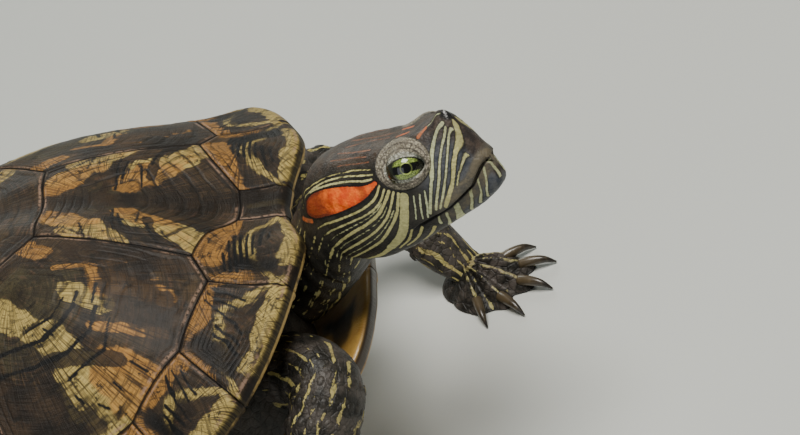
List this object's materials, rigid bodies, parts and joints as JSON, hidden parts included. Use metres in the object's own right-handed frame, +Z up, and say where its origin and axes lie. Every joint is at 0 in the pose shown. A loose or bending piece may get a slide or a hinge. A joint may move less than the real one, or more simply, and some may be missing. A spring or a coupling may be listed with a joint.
{
  "type": "red-eared slider turtle",
  "caption": "Still life-size adult red-eared slider turtle, standing on four feet with its shell tilted nose-up, neck bent to its right and head raised.",
  "frame": {"origin": "centre of the animal's outline on the floor it stands on", "axes": "+X forward, +Y to the animal's left, +Z up"},
  "size_m": [0.2696, 0.2244, 0.105],
  "materials": {
    "carapace": "wet horn plates, dark brown and olive with orange-tan and yellow streaks, fine growth ridges",
    "plastron": "smooth horn plates, yellow to orange with dark brown blotches",
    "skin": "damp granular skin, near-black olive with fine yellow-green stripes and a red patch behind the eye",
    "eye": "wet, glossy, yellow-green iris with a dark bar across it and a round black pupil",
    "claw": "smooth dark horn, paler towards the base"
  },
  "bodies": {
    "root": {"nuchal_plate": "carapace", "vertebral_plate_1": "carapace", "vertebral_plate_2": "carapace", "vertebral_plate_3": "carapace", "vertebral_plate_4": "carapace", "vertebral_plate_5": "carapace", "costal_plate_left_1": "carapace", "costal_plate_left_2": "carapace", "costal_plate_left_3": "carapace", "costal_plate_left_4": "carapace", "marginal_plate_left_1": "carapace", "marginal_plate_left_2": "carapace", "marginal_plate_left_3": "carapace", "marginal_plate_left_4": "carapace", "marginal_plate_left_5": "carapace", "marginal_plate_left_6": "carapace", "marginal_plate_left_7": "carapace", "marginal_plate_left_8": "carapace", "marginal_plate_left_9": "carapace", "marginal_plate_left_10": "carapace", "marginal_plate_left_11": "carapace", "marginal_plate_left_12": "carapace", "costal_plate_right_1": "carapace", "costal_plate_right_2": "carapace", "costal_plate_right_3": "carapace", "costal_plate_right_4": "carapace", "marginal_plate_right_1": "carapace", "marginal_plate_right_2": "carapace", "marginal_plate_right_3": "carapace", "marginal_plate_right_4": "carapace", "marginal_plate_right_5": "carapace", "marginal_plate_right_6": "carapace", "marginal_plate_right_7": "carapace", "marginal_plate_right_8": "carapace", "marginal_plate_right_9": "carapace", "marginal_plate_right_10": "carapace", "marginal_plate_right_11": "carapace", "marginal_plate_right_12": "carapace", "plastron": "plastron", "trunk": "skin", "neck": "skin", "head": "skin", "lower_jaw": "skin", "tail": "skin", "foreleg_left": "skin", "forefoot_left": "skin", "hindleg_left": "skin", "hindfoot_left": "skin", "eye_left": "eye", "foreleg_right": "skin", "forefoot_right": "skin", "hindleg_right": "skin", "hindfoot_right": "skin", "eye_right": "eye"}
  },
  "joints": []
}
